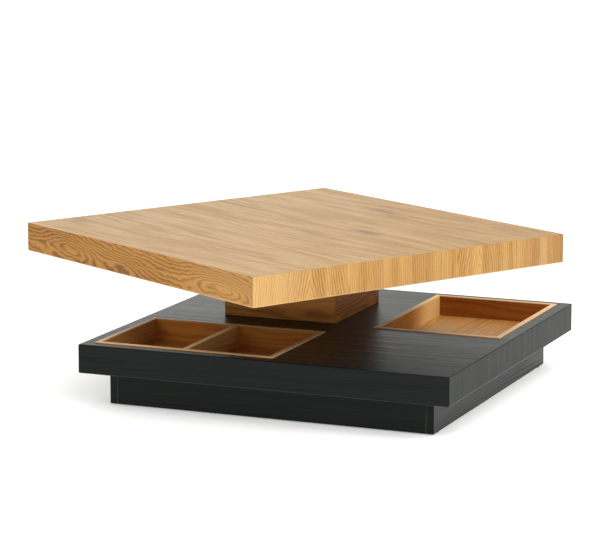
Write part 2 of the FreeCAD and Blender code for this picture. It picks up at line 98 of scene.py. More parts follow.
# %% Colour helper
CURVE_KNEE, CURVE_SLOPE, CURVE_LIFT, CURVE_POWER = 0.04045, 12.92, 0.055, 2.4


def linear(red, green, blue):
    """Screen colour from 0 to 255 as linear colour with alpha."""
    parts = []
    for part in (red, green, blue):
        share = part / 255
        if share <= CURVE_KNEE:
            parts.append(share / CURVE_SLOPE)
        else:
            parts.append(((share + CURVE_LIFT) / (1 + CURVE_LIFT)) ** CURVE_POWER)
    return (*parts, 1.0)


print("middle grey on screen is", round(linear(128, 128, 128)[0], 3), "as light")

# %% [markdown]
# ## One call for one node
# The finishes, the sky and the screws are all node trees. In the editor a node is dropped in and
# wired by hand. A script needs a line for each of those moves, and a lively veneer has more than a
# hundred nodes, so one helper adds a node, changes its settings, and fills its inputs with numbers
# or with the outputs of other nodes.

# %% Node helper
def add_node(tree, kind, inputs=None, **settings):
    """Add a node. Its inputs go by name or number, and are values or outputs of other nodes."""
    node = tree.nodes.new(kind)
    for name, value in settings.items():
        setattr(node, name, value)
    for key, given in (inputs or {}).items():
        if isinstance(given, bpy.types.NodeSocket):
            tree.links.new(given, node.inputs[key])
        else:
            node.inputs[key].default_value = given
    return node


print("one helper adds nodes to finishes, sky and screws")

# %% [markdown]
# ## A finish as a node tree
# Each finish is worked out by nodes from the place on the board. A painted picture would need
# unwrapping and would blur close up, while a formula stays sharp at any distance. Places come from
# Object coordinates, which never stretch. The tabletop rests turned on its base, so its boards read
# places in its own axes: a Mapping node of the texture kind moves and turns them back, and the grain
# then runs square to the edges.

# %% Finish tree
REST_TURN = math.radians(29.7)
MIX_SHARE, MIX_FIRST, MIX_SECOND, MIX_COLOUR = 0, 6, 7, 2


class Finish:
    """A material and its node tree, with one short call for each kind of node that the finishes need."""

    def __init__(self, name):
        self.material = bpy.data.materials.new(name)
        self.material.use_nodes = True
        self.tree = self.material.node_tree
        self.shader = self.tree.nodes["Principled BSDF"]

    def math(self, operation, *given):
        return add_node(self.tree, "ShaderNodeMath", dict(enumerate(given)), operation=operation).outputs[0]

    def plus(self, first, second):
        return self.math("ADD", first, second)

    def minus(self, first, second):
        return self.math("SUBTRACT", first, second)

    def times(self, first, second):
        return self.math("MULTIPLY", first, second)

    def over(self, first, second):
        return self.math("DIVIDE", first, second)

    def noise(self, x, y, z, detail, roughness):
        place = add_node(self.tree, "ShaderNodeCombineXYZ", {"X": x, "Y": y, "Z": z}).outputs[0]
        inputs = {"Vector": place, "Scale": 1.0, "Detail": detail, "Roughness": roughness}
        return add_node(self.tree, "ShaderNodeTexNoise", inputs).outputs["Fac"]

    def ramp(self, value, stops):
        """Smooth grey ramp from pairs of place and brightness."""
        node = add_node(self.tree, "ShaderNodeValToRGB", {0: value})
        node.color_ramp.interpolation = "EASE"
        elements = node.color_ramp.elements
        while len(elements) < len(stops):
            elements.new(0.5)
        for element, (place, grey) in zip(elements, stops):
            element.position = place
            element.color = (grey, grey, grey, 1.0)
        return node.outputs["Color"]

    def blend(self, share, first, second):
        inputs = {MIX_SHARE: share, MIX_FIRST: first, MIX_SECOND: second}
        return add_node(self.tree, "ShaderNodeMix", inputs, data_type="RGBA").outputs[MIX_COLOUR]

    def spread(self, value, low, high):
        """Stretch a value from 0..1 to low..high."""
        inputs = {"Value": value, "To Min": low, "To Max": high}
        return add_node(self.tree, "ShaderNodeMapRange", inputs).outputs[0]

    def axes(self, turned=False):
        """Object coordinates as x, y and z, in the tabletop's own axes if asked."""
        place = add_node(self.tree, "ShaderNodeTexCoord").outputs["Object"]
        if turned:
            inputs = {"Vector": place, "Location": (PIVOT.x, PIVOT.y, 0.0),
                      "Rotation": (0.0, 0.0, -REST_TURN)}
            place = add_node(self.tree, "ShaderNodeMapping", inputs, vector_type="TEXTURE").outputs[0]
        return dict(zip("xyz", add_node(self.tree, "ShaderNodeSeparateXYZ", {0: place}).outputs))

    def coat(self, colour, dullness, height, relief, depth):
        """Wire colour, roughness and a surface with relief into the shader."""
        inputs = {"Strength": relief, "Distance": depth, "Height": height}
        bump = add_node(self.tree, "ShaderNodeBump", inputs).outputs[0]
        for label, given in (("Base Color", colour), ("Roughness", dullness), ("Normal", bump)):
            self.tree.links.new(given, self.shader.inputs[label])


print("a finish can use", ", ".join(name for name in vars(Finish) if not name.startswith("_")))

# %% [markdown]
# ## Directions in a board
# Wood changes slowly along the grain, quickly across it, and differs from one sheet to the next. So
# every board keeps three directions: along, across and into the wood. Noise is squeezed along the
# first two, and each kind of noise is taken at a depth of its own, so that no two follow the same
# pattern.

# %% Board directions
class Board(Finish):
    """A finish for wood that knows what lies along the grain, across it and into the board."""

    def __init__(self, name, along, across, seed, turned):
        super().__init__(name)
        self.places = self.axes(turned)
        self.grain = self.places[along]
        self.width = self.places[across[0]]
        for extra in across[1:]:
            self.width = self.plus(self.width, self.places[extra])
        inward = next(axis for axis in "xyz" if axis not in (along, across[0]))
        self.depth = self.plus(self.places[inward], seed)

    def cloud(self, scale, layer, detail=2.0, roughness=0.5):
        """Noise with a scale along and a scale across the grain."""
        lengthways, crossways = self.times(self.grain, scale[0]), self.times(self.width, scale[1])
        return self.noise(lengthways, crossways, self.plus(self.depth, layer), detail, roughness)

    def away(self, at, slope=0.0):
        """How far a spot lies from a place, along the grain and across it. The grain may slope there."""
        along = self.minus(self.grain, at[0])
        return along, self.plus(self.minus(self.width, at[1]), self.times(along, slope))

    def squares(self, *parts):
        """Sum of squares from pairs of distance and size."""
        total, *others = [self.math("POWER", self.math("ABSOLUTE", self.over(part, size)), 2.0)
                          for part, size in parts]
        for other in others:
            total = self.plus(total, other)
        return total


print("a board also has", ", ".join(name for name in vars(Board) if not name.startswith("_")))

# %% [markdown]
# ## Growth lines as a map
# Oak veneer is a thin slice through growth rings. Where the slice runs along the rings the lines lie
# parallel, and where it grazes a bulge of the trunk they close into rings and arches. Contour lines
# on a map behave the same way, so we draw the wood as a map. An even slope gives parallel lines, a
# pit in the slope closes them into rings, and the distance from a long narrow eye gives pointed
# arches. A Wave texture would be quicker, but it can't put an eye where the real board has one.

# %% Eyes and pits
EYE_POINT = 1.35
EYE_BLEND = 0.012


def eye(board, at, pull, reach):
    """Distance from an eye. Its rings are pointed, and beyond its reach they run along the grain."""
    along, across = board.away(at)
    slack = board.plus(board.over(board.math("ABSOLUTE", along), reach), 1.0)
    along = board.over(board.times(along, pull), slack)
    powers = [board.math("POWER", board.math("ABSOLUTE", part), EYE_POINT) for part in (along, across)]
    return board.math("POWER", board.plus(*powers), 1 / EYE_POINT)


def pit(board, at, depth, length, breadth, slope, ease):
    """Depth of a pit. It also eases the map's slope by a share, so that its rings are evenly spaced."""
    along, across = board.away(at, slope)
    hollow = board.math("EXPONENT", board.times(board.squares((along, length), (across, breadth)), -1.0))
    calm = board.math("EXPONENT", board.times(board.squares((along, 2 * length)), -1.0))
    return board.plus(board.times(hollow, depth), board.times(board.times(calm, ease), across))


def terrain(board, eyes, pits, lean):
    """Height of the map: the distance from the nearest eye, or a leaning slope with pits."""
    if eyes:
        height, *others = [eye(board, **each) for each in eyes]
        for other in others:
            height = board.math("SMOOTH_MIN", height, other, EYE_BLEND)
        return height
    height = board.plus(board.width, board.times(board.grain, lean))
    for each in pits:
        height = board.minus(height, pit(board, **each))
    return height


print("eyes melt into each other over", EYE_BLEND * 1000, "mm")

# %% [markdown]
# ## From map to rings
# A tree grows pale wood in spring and dark wood in summer, then starts again. The fraction of the
# map's height makes that repeat, and a ramp gives each year its slow rise to dark and its quick fall
# to pale. Broad bulges and fine ripples are added to the height first, because no real line is
# straight.

# %% Growth rings
RING_PROFILE = [(0.0, 0.5), (0.1, 0.05), (0.4, 0.12), (0.82, 1.0), (1.0, 0.5)]
BULGE_LAYER, RIPPLE_LAYER = 0.0, 3.7


def growth_rings(board, height, lines, stretch, figure, ripple, fine):
    """Rings from 0, pale, to 1, dark, with a number of lines per metre of height."""
    bulges = board.cloud(stretch, BULGE_LAYER, detail=1.0, roughness=0.4)
    ripples = board.cloud(ripple, RIPPLE_LAYER)
    height = board.times(height, lines)
    for bend, share in ((bulges, figure), (ripples, fine)):
        height = board.plus(height, board.times(bend, share))
    return board.ramp(board.math("FRACT", height), RING_PROFILE)


print("a year's ring has", len(RING_PROFILE), "tones")

# %% [markdown]
# ## Smudges, marks, painted shade and pale bands
# Printed or sliced oak also has soft smudges and a few dark marks where a branch began. The same ragged
# ovals also lay broad painted shade on a board. Pale bands fade out from a place on one axis: along
# edges they are painted highlights, broad ones along a board are painted light, and on the tray rims
# they only make the rims paler. These could be painted on a mask. Here each is a distance turned into a
# share of another colour: smudges follow a noise, marks and painted shade are ragged ovals at given
# places, and pale bands fade out from a place.

# %% Smudges, marks, painted shade and pale bands
SMUDGE_SCALE, SMUDGE_LAYER, SMUDGE_RAMP = (7.0, 52.0), 12.4, [(0.57, 0.0), (0.8, 1.0)]
SMUDGE_DARK, SMUDGE_GREY = 0.8, (18, 13, 8)
MARK_AND_SHADE_TONE, MARK_AND_SHADE_RAGGED = (104, 74, 46), 0.3
BAND_FULL = 0.35


def smudged(board, wood, line, share):
    dark = board.ramp(board.cloud(SMUDGE_SCALE, SMUDGE_LAYER), SMUDGE_RAMP)
    grey = [SMUDGE_DARK * part + extra for part, extra in zip(line, SMUDGE_GREY)]
    return board.blend(board.times(dark, share), wood, linear(*grey))


# Dark ragged ovals: real marks, and also broad painted shade where a board is given one.
def add_mark_and_shade(board, wood, streaks, at, length, breadth, share):
    along, across = board.away(at)
    oval = board.math("SQRT", board.squares((along, length), (across, breadth)))
    oval = board.plus(oval, board.spread(streaks, MARK_AND_SHADE_RAGGED, -MARK_AND_SHADE_RAGGED))
    return board.blend(board.ramp(oval, [(0.0, share), (1.0, 0.0)]), wood, linear(*MARK_AND_SHADE_TONE))


# A pale band fading out from a place: painted highlights along edges, painted light along a board, and
# paler tray rims.
def add_pale_band(board, wood, tone, axis, place, reach, share):
    away = board.over(board.math("ABSOLUTE", board.minus(board.places[axis], place)), reach)
    return board.blend(board.ramp(away, [(BAND_FULL, share), (1.0, 0.0)]), wood, linear(*tone))


print("dark marks have the tone", MARK_AND_SHADE_TONE)

# %% [markdown]
# ## The veneer recipe
# One recipe serves all the wood on the table. Three tones make a board: light and middle wood lie in
# broad streaks, and the darkest draws the growth lines. Oak has open pores, thousands of short dark
# slits, so a very stretched noise adds them to the colour, the relief and the gloss. Pores and lines
# are duller than the wood between them, which shows most on the black boards.

# %% Veneer recipe
STREAK_LAYER, STREAK_RAMP = 9.1, [(0.3, 0.0), (0.72, 1.0)]
PORE_SCALE, PORE_LAYER, PORE_RAMP = (110.0, 2300.0), 5.3, [(0.56, 0.0), (0.72, 1.0)]
PORE_SHARE, PORE_DARK, PORE_DEPTH = 0.3, 0.55, 0.0006
LINE_FADE, CORE_FADE, EYE_CORE = (0.6, 1.0), (0.4, 1.0), 0.018
LINE_DULL, STREAK_DULL, LINE_RELIEF = 0.5, 0.5, 0.5


def veneer(name, along, across, tones, lines, figure, stretch=(2.0, 11.0), fine=0.5, ripple=(14.0, 40.0),
           ring=0.6, eyes=(), pits=(), lean=0.0, streak=(1.6, 24.0), smudge=0.0, marks=(), pale_bands=(),
           pale_band_tone=(226, 188, 130), rough=(0.36, 0.5), shine=0.5, relief=0.12, seed=0.0, turned=False):
    """Wood with its grain along one axis and a number of lines per metre across it."""
    board = Board(name, along, across, seed, turned)
    light, middle, line = tones
    height = terrain(board, eyes, pits, lean)
    rings = growth_rings(board, height, lines, stretch, figure, ripple, fine)
    streaks = board.ramp(board.cloud(streak, STREAK_LAYER, detail=4.0, roughness=0.6), STREAK_RAMP)
    pores = board.ramp(board.cloud(PORE_SCALE, PORE_LAYER, detail=1.0), PORE_RAMP)

    lining = board.times(board.times(rings, ring), board.spread(streaks, *LINE_FADE))
    if eyes:
        lining = board.times(lining, board.spread(board.over(height, EYE_CORE), *CORE_FADE))
    wood = board.blend(streaks, linear(*light), linear(*middle))
    wood = board.blend(lining, wood, linear(*line))
    if smudge:
        wood = smudged(board, wood, line, smudge)
    # Real marks on the face, and broad painted shade on the ends.
    for mark_and_shade_patch in marks:
        wood = add_mark_and_shade(board, wood, streaks, **mark_and_shade_patch)
    wood = board.blend(board.times(pores, PORE_SHARE), wood, linear(*[PORE_DARK * part for part in line]))
    # Pale bands: painted highlights along edges, painted light along boards, and paler tray rims.
    for edge in pale_bands:
        wood = add_pale_band(board, wood, pale_band_tone, *edge)

    dull = board.times(board.math("MAXIMUM", pores, rings), LINE_DULL)
    dull = board.plus(dull, board.times(streaks, STREAK_DULL))
    hollow = board.times(board.plus(pores, board.times(rings, LINE_RELIEF)), -1.0)
    board.coat(wood, board.spread(dull, *rough), hollow, relief, PORE_DEPTH)
    board.shader.inputs["Specular IOR Level"].default_value = shine
    return board.material


def dress(material, *names):
    """Put one finish on some nodes of the frame."""
    for name in names:
        for slot in nodes[name].material_slots:
            slot.material = material
    print(material.name, "on", ", ".join(names))


print("pores are", round(1000 / PORE_SCALE[0]), "mm long and", round(1000 / PORE_SCALE[1], 1), "mm wide")

# %% [markdown]
# ## Places on the tabletop
# Eyes, marks, painted shade and pale bands are written in the tabletop's own axes, which start at the
# swivel. The swivel sits off centre, so we first work out how far the top reaches from it on each side.
# Each pale band gives an axis, a place on it, how far the band reaches and how strong it is. Along the
# edges these bands are painted highlights, and the broad ones are painted light.

# %% Tabletop places
TOP_SIDE = 0.8
# Width of the thin pale bands: painted highlights along edges, and the paler tray rims.
EDGE_BAND = 0.003
slab_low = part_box("tabletop_front_rail")[0][2]
LEFT, RIGHT = -TOP_SIDE / 2 - PIVOT.x, TOP_SIDE / 2 - PIVOT.x
FRONT, BACK = -TOP_SIDE / 2 - PIVOT.y, TOP_SIDE / 2 - PIVOT.y
print("tabletop runs", round(LEFT, 3), round(RIGHT, 3), round(FRONT, 3), round(BACK, 3), "from the swivel")

# %% [markdown]
# ## The oak face
# The face is one wide sheet with its grain from left to right. It is calm wood: faint lines, short
# soft streaks and a few dark marks. The marks are set where the real sheet has them, because chance
# would scatter them evenly. The finish is matt, so a low shine keeps the white room from washing it
# out.

# %% Tabletop face
FACE_TONES = (184, 142, 81), (166, 124, 66), (122, 84, 42)
FACE_MARKS = [
    dict(at=(0.265, -0.040), length=0.085, breadth=0.020, share=0.75),
    dict(at=(0.090, 0.165), length=0.110, breadth=0.040, share=0.40),
    dict(at=(0.400, 0.217), length=0.080, breadth=0.018, share=0.40),
    dict(at=(-0.228, -0.427), length=0.040, breadth=0.030, share=0.45),
]
face_oak = veneer("tabletop_face_oak", "x", "y", FACE_TONES, lines=55, figure=7, stretch=(1.6, 9.0),
                  ring=0.3, streak=(5.0, 44.0), smudge=0.4, marks=FACE_MARKS, rough=(0.3, 0.42), shine=0.15,
                  turned=True)
dress(face_oak, "tabletop_upper_panel")

# %% [markdown]
# ## The lively front edge
# The front and back edges carry a strip of crown-cut veneer, the liveliest wood on the table: a
# ringed eye near the left end, long lines that slant down to the right, a small arch on the way, and
# a loop near the right end. So this map is a leaning slope with three pits. Its lower edge and corners
# get pale lines as painted highlights, and the wood is painted lighter towards the right end as
# painted light.

# %% Front and back edges
EDGE_TONES = (190, 134, 54), (174, 118, 43), (100, 57, 15)
EDGE_PITS = [
    dict(at=(LEFT + 0.165, slab_low + 0.029), depth=0.034, length=0.085, breadth=0.021,
         slope=0.10, ease=0.55),
    dict(at=(LEFT + 0.365, slab_low + 0.018), depth=0.016, length=0.060, breadth=0.014,
         slope=0.10, ease=0.0),
    dict(at=(LEFT + 0.700, slab_low + 0.024), depth=0.038, length=0.115, breadth=0.021,
         slope=0.06, ease=0.5),
]
# Pale lines along the lower edge and both corners are painted highlights; the broad band at the right end
# is painted light.
EDGE_PALE_BANDS = [("z", slab_low, EDGE_BAND, 0.5), ("x", LEFT, EDGE_BAND, 0.5), ("x", RIGHT, EDGE_BAND, 0.5),
             ("x", RIGHT, 0.3, 0.14)]
edge_oak = veneer("tabletop_edge_oak", "x", "z", EDGE_TONES, lines=140, figure=1.7, stretch=(9.0, 30.0),
                  fine=1.8, ripple=(30.0, 55.0), ring=0.9, pits=EDGE_PITS, lean=0.10, pale_bands=EDGE_PALE_BANDS,
                  shine=0.22, seed=4.3, turned=True)
dress(edge_oak, "tabletop_front_rail", "tabletop_back_rail")

# %% [markdown]
# ## The folded ends
# The sheet of the face folds down over the two ends, so there its grain stands upright: fine straight
# lines in bands of tone, with pointed arches in two places. Eyes with a pull make the arches, and
# eyes without one are only places where straight lines part. The wood is painted paler towards the
# front corner as painted light, and browner towards the back as painted shade.

# %% Ends
END_TONES = (203, 157, 88), (187, 139, 72), (141, 89, 37)
END_EYES = [
    dict(at=(slab_low - 0.002, FRONT + 0.136), pull=0.42, reach=0.10),
    dict(at=(slab_low, FRONT + 0.330), pull=0.0, reach=1.0),
    dict(at=(slab_low, FRONT + 0.450), pull=0.0, reach=1.0),
    dict(at=(slab_low + 0.010, FRONT + 0.570), pull=0.42, reach=0.10),
    dict(at=(slab_low, FRONT + 0.760), pull=0.0, reach=1.0),
]
# A broad dark patch over the back part of the ends is painted shade.
END_BACK_SHADE = [dict(at=(slab_low + 0.03, BACK), length=1.0, breadth=0.32, share=0.22)]
# Pale lines along the lower edge and corners are painted highlights; the broad band at the front is painted
# light.
END_PALE_BANDS = [("z", slab_low, EDGE_BAND, 0.5), ("y", FRONT, EDGE_BAND, 0.5), ("y", BACK, EDGE_BAND, 0.5),
            ("y", FRONT, 0.16, 0.28), ("y", FRONT + 0.745, 0.014, 0.25)]
end_oak = veneer("tabletop_end_oak", "z", "y", END_TONES, lines=175, figure=2.0, stretch=(4.0, 9.0),
                 fine=1.3, ripple=(14.0, 95.0), ring=0.85, eyes=END_EYES, streak=(1.5, 42.0),
                 marks=END_BACK_SHADE, pale_bands=END_PALE_BANDS, shine=0.35, seed=7.1, turned=True)
dress(end_oak, "tabletop_right_rail", "tabletop_left_rail")

# %% [markdown]
# ## The pedestal
# The pedestal is a box of four oak walls, with the grain lying level round it. It stands in the shade
# of the top, so the front and back walls are painted brighter than the wood as painted light, and the
# side walls are painted darker as painted shade under the top.

# %% Pedestal
# Bright tones on the front and back are painted light; deep tones on the sides are painted shade.
PEDESTAL_LIT_TONES = (255, 173, 88), (236, 151, 68), (154, 84, 31)
PEDESTAL_SHADED_TONES = (192, 122, 44), (172, 102, 32), (106, 55, 15)
PEDESTAL = dict(lines=55, figure=9, stretch=(3.0, 16.0))
pedestal_lit_across = veneer("pedestal_oak_across_lit", "x", "z", PEDESTAL_LIT_TONES, shine=0.3, seed=2.0, **PEDESTAL)
pedestal_shaded_along = veneer("pedestal_oak_along_shaded", "y", "z", PEDESTAL_SHADED_TONES, shine=0.08, seed=5.0, **PEDESTAL)
dress(pedestal_lit_across, "pedestal_front_wall", "pedestal_back_wall")
dress(pedestal_shaded_along, "pedestal_left_wall", "pedestal_right_wall")

# %% [markdown]
# ## The trays
# Two trays drop into the base. They are a warmer oak than the top, and their rims are paler along the
# top. Boards that run left to right and boards that run front to back need their grain along different
# axes, so each kind gets a material of its own.

# %% Trays
tray_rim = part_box("open_tray_front_wall")[1][2]
TRAY_TONES = (230, 154, 70), (208, 128, 50), (142, 76, 26)
TRAY_SIDE_TONES = (216, 162, 94), (198, 138, 72), (140, 84, 36)
TRAY = dict(lines=80, figure=6, stretch=(3.0, 16.0), ring=0.45, pale_bands=[("z", tray_rim, EDGE_BAND, 0.8)],
            pale_band_tone=(236, 194, 146), shine=0.2)
ACROSS, ALONG = dict(along="x", across="zy", seed=1.0), dict(along="y", across="zx", seed=6.0)
tray_across = veneer("tray_oak_across", tones=TRAY_TONES, **ACROSS, **TRAY)
tray_along = veneer("tray_oak_along", tones=TRAY_SIDE_TONES, **ALONG, **TRAY)
dress(tray_across, "divided_tray_front_wall", "divided_tray_back_wall", "divided_tray_floor",
      "open_tray_front_wall")
dress(tray_along, "divided_tray_left_wall", "divided_tray_right_wall", "open_tray_right_wall",
      "open_tray_floor")

# %% [markdown]
# ## Three boards of their own
# Three boards in the trays get colours of their own. The divider's rim is painted palest, as painted
# light on a rim that lies in the top's shade. The open tray's left wall is painted deep at its near end
# as painted shade, with a broad pale band reaching along it from the far end as painted light. The open
# tray's back wall is painted darkest of all, as painted shade.

# %% Odd tray boards
# The divider's pale rim is painted light.
DIVIDER_LIT_RIM = dict(TRAY, pale_bands=[("z", tray_rim, EDGE_BAND, 1.0)], pale_band_tone=(255, 205, 140), shine=0.03)
divider_lit_rim_oak = veneer("tray_oak_divider_lit_rim", tones=TRAY_SIDE_TONES, **ALONG, **DIVIDER_LIT_RIM)
dress(divider_lit_rim_oak, "divided_tray_divider")

far_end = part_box("open_tray_left_wall")[1].y
# Deep tones are painted shade at the near end; the broad band from the far end is painted light.
LEFT_WALL_SHADED_TONES = (196, 128, 58), (174, 106, 42), (116, 62, 22)
LEFT_WALL_RIM_AND_LIGHT_BANDS = [("z", tray_rim, EDGE_BAND, 0.7), ("y", far_end, 0.21, 0.85)]
LEFT_WALL_LIGHT_AND_SHADE = dict(TRAY, pale_bands=LEFT_WALL_RIM_AND_LIGHT_BANDS, pale_band_tone=(248, 204, 134))
left_wall_light_and_shade_oak = veneer("tray_oak_left_wall_light_and_shade", tones=LEFT_WALL_SHADED_TONES, **ALONG, **LEFT_WALL_LIGHT_AND_SHADE)
dress(left_wall_light_and_shade_oak, "open_tray_left_wall")

# The open tray's back wall is painted darker as painted shade.
BACK_WALL_SHADE_TONES = (186, 116, 46), (164, 94, 32), (104, 52, 16)
back_wall_shaded_oak = veneer("tray_oak_back_wall_shaded", tones=BACK_WALL_SHADE_TONES, **ACROSS, **TRAY)
dress(back_wall_shaded_oak, "open_tray_back_wall")

# %% [markdown]
# ## The black base
# The base is stained, not painted, so the grain still shows as fine lines and a slight relief under a
# satin coat. The recipe is the same veneer with colours that stay close to black. Black wood shows
# little of its own colour: what we see is mostly the white room mirrored at a low angle, so the shine
# is set with care, and the grain shows because pores and lines are duller than the wood between them.

# %% Black stain
base_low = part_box("slab_front_rail")[0][2]
BLACK = dict(tones=((17, 24, 21), (12, 18, 16), (6, 9, 8)), lines=150, figure=8, stretch=(2.0, 14.0),
             streak=(3.0, 120.0), rough=(0.25, 0.46), relief=0.14, shine=0.15, pale_band_tone=(120, 124, 120))
END_GLOSS = dict(shine=0.08, relief=0.1, rough=(0.3, 0.44))
black_face = veneer("black_oak_face", "x", "y", **dict(BLACK, shine=0.22))
# The pale grey line along the lower edges of the base is a painted highlight.
black_edge = veneer("black_oak_edge", "x", "zy", seed=3.0, pale_bands=[("z", base_low, EDGE_BAND, 0.07)], **BLACK)
black_end = veneer("black_oak_end", "z", "yx", seed=8.0, pale_bands=[("z", base_low, EDGE_BAND, 0.5)],
                   **dict(BLACK, **END_GLOSS))
black_side = veneer("black_oak_side", "y", "zx", seed=5.0, **BLACK)
dress(black_face, "slab_top_panel", "slab_bottom_panel", "tabletop_lower_panel")
dress(black_edge, "slab_front_rail", "slab_back_rail", "plinth_front_board", "plinth_back_board")
dress(black_end, "slab_left_rail", "slab_right_rail")
dress(black_side, "plinth_left_board", "plinth_right_board")

# %% [markdown]
# ## Hidden timber
# Inside, the table is held by plain sawn softwood: blocks, battens and posts that show only from
# below or when the table is taken apart. The same recipe with many close lines and a rough surface
# makes them.

# %% Softwood
SOFTWOOD_TONES = (214, 184, 138), (200, 166, 116), (170, 124, 72)
plain_wood = veneer("sawn_softwood", "x", "yz", SOFTWOOD_TONES, lines=180, figure=9, rough=(0.6, 0.75))
dress(plain_wood, "plinth_centre_brace", "plinth_corner_blocks", "slab_support_block", "slab_core_battens",
      "pedestal_corner_posts", "pedestal_top_board", "swivel_mounting_block", "tabletop_core_battens")

# %% [markdown]
# ## Metal and nylon
# The swivel is zinc plated steel with polished balls in a nylon cage, and the table stands on black
# nylon glides. One flat colour would look like plastic toy parts. A fine cloudy noise between two
# close tones, which also moves the gloss, gives plating its mottled look and nylon its soft bloom.

# %% Metal and nylon
MOTTLE_DEPTH = 0.0003


def mottled(name, light, dark, metallic, rough, scale, relief):
    """A cloudy finish from two tones and a fine mottling."""
    finish = Finish(name)
    places = [finish.times(place, scale) for place in finish.axes().values()]
    cloud = finish.noise(*places, detail=4.0, roughness=0.65)
    colour = finish.blend(cloud, linear(*light), linear(*dark))
    finish.coat(colour, finish.spread(cloud, *rough), cloud, relief, MOTTLE_DEPTH)
    finish.shader.inputs["Metallic"].default_value = metallic
    return finish.material


zinc = mottled("zinc_plate", (190, 192, 196), (150, 152, 156), 1.0, (0.3, 0.5), scale=260.0, relief=0.1)
polished = mottled("polished_balls", (214, 214, 216), (196, 196, 200), 1.0, (0.08, 0.18), scale=300.0,
                   relief=0.03)
nylon = mottled("nylon", (232, 228, 214), (214, 210, 196), 0.0, (0.4, 0.55), scale=180.0, relief=0.08)
glide_black = mottled("glide_nylon", (40, 40, 42), (28, 28, 30), 0.0, (0.45, 0.6), scale=400.0, relief=0.1)
dress(zinc, "plinth_fixing_screws", "pedestal_fixing_screws", "swivel_lower_plate", "lower_plate_screws",
      "pivot_washer", "pivot_nut", "pivot_bolt", "swivel_upper_plate", "upper_plate_screws")
dress(polished, "bearing_balls")
dress(nylon, "ball_cage", "pivot_bush", "thrust_washer")
dress(glide_black, "floor_glides")

# %% [markdown]
# ## Screws
# Countersunk screws hold the plinth, the pedestal and both swivel plates. The frame has them as plain
# pins, so we turn each pin into a real screw. Screws repeat, so Geometry Nodes is the right tool: one
# tree makes a screw from named sizes and sets a copy on every point it is given. First come the
# tree's inputs, and short helpers to reckon with them.

# %% Screw sizes
SCREW_SIZES = dict(Places="Geometry", Head="Float", Shank="Float", Length="Float", Pitch="Float",
                   Tilt="Float", Finish="Material")
screw_tree = bpy.data.node_groups.new("cross_head_screw", "GeometryNodeTree")
screw_inputs = {}
for label, kind in SCREW_SIZES.items():
    socket = screw_tree.interface.new_socket(label, in_out="INPUT", socket_type="NodeSocket" + kind)
    screw_inputs[label] = socket.identifier
screw_tree.interface.new_socket("Screws", in_out="OUTPUT", socket_type="NodeSocketGeometry")
given = screw_tree.nodes.new("NodeGroupInput").outputs


def shape(kind, **inputs):
    """Add a node to the screw tree, with inputs named as on the node, and give its first output."""
    named = {name.replace("_", " "): value for name, value in inputs.items()}
    return add_node(screw_tree, kind, named).outputs[0]


def reckon(operation, first, second):
    return add_node(screw_tree, "ShaderNodeMath", {0: first, 1: second}, operation=operation).outputs[0]


def raised(geometry, height):
    lift = shape("ShaderNodeCombineXYZ", Z=height)
    return shape("GeometryNodeTransform", Geometry=geometry, Translation=lift)


print("screw tree takes", ", ".join(screw_inputs))

# %% [markdown]
# The head is a cone as deep as it is wider than the shank on each side, which makes the usual
# countersink of 90 degrees. Two crossed bars are cut out of it for the driver. A Boolean is slow on
# big meshes, but this one is tiny and is worked out once for all copies. Sizes are shares of the
# head, the shank or the neck between them.

# %% Screw head
HEAD_SIDES, HEAD_RADIUS, NECK_RADIUS = 24, 0.5, 0.42
ARM_LONG, ARM_WIDE, CUT_DEEP = 0.56, 0.12, 1.3

neck = reckon("MULTIPLY", reckon("SUBTRACT", given["Head"], given["Shank"]), 0.5)
cone = shape("GeometryNodeMeshCone", Vertices=HEAD_SIDES, Depth=neck,
             Radius_Top=reckon("MULTIPLY", given["Shank"], NECK_RADIUS),
             Radius_Bottom=reckon("MULTIPLY", given["Head"], HEAD_RADIUS))
arm_long, arm_wide = [reckon("MULTIPLY", given["Head"], share) for share in (ARM_LONG, ARM_WIDE)]
cut_deep = reckon("MULTIPLY", neck, CUT_DEEP)
cutting = add_node(screw_tree, "GeometryNodeMeshBoolean", {"Mesh 1": cone}, operation="DIFFERENCE")
for x, y in ((arm_long, arm_wide), (arm_wide, arm_long)):
    bar = shape("GeometryNodeMeshCube", Size=shape("ShaderNodeCombineXYZ", X=x, Y=y, Z=cut_deep))
    screw_tree.links.new(bar, cutting.inputs["Mesh 2"])
head = cutting.outputs["Mesh"]
print("head has", HEAD_SIDES, "sides, tree has", len(screw_tree.nodes), "nodes")

# %% [markdown]
# Below the head runs a slim core with a thread wound round it. A spiral curve gives the path and a
# small square swept along it gives the ridge. The thread never leaves the pin's outline, so nothing
# bites into the wood around it.

# %% Core and thread
CORE_SIDES, CORE_RADIUS = 16, 0.4
THREAD_STEPS, THREAD_RADIUS, THREAD_SHARE, THREAD_START = 12, 0.41, 0.9, 0.05
RIDGE_SIDES, RIDGE_RADIUS = 4, 0.08

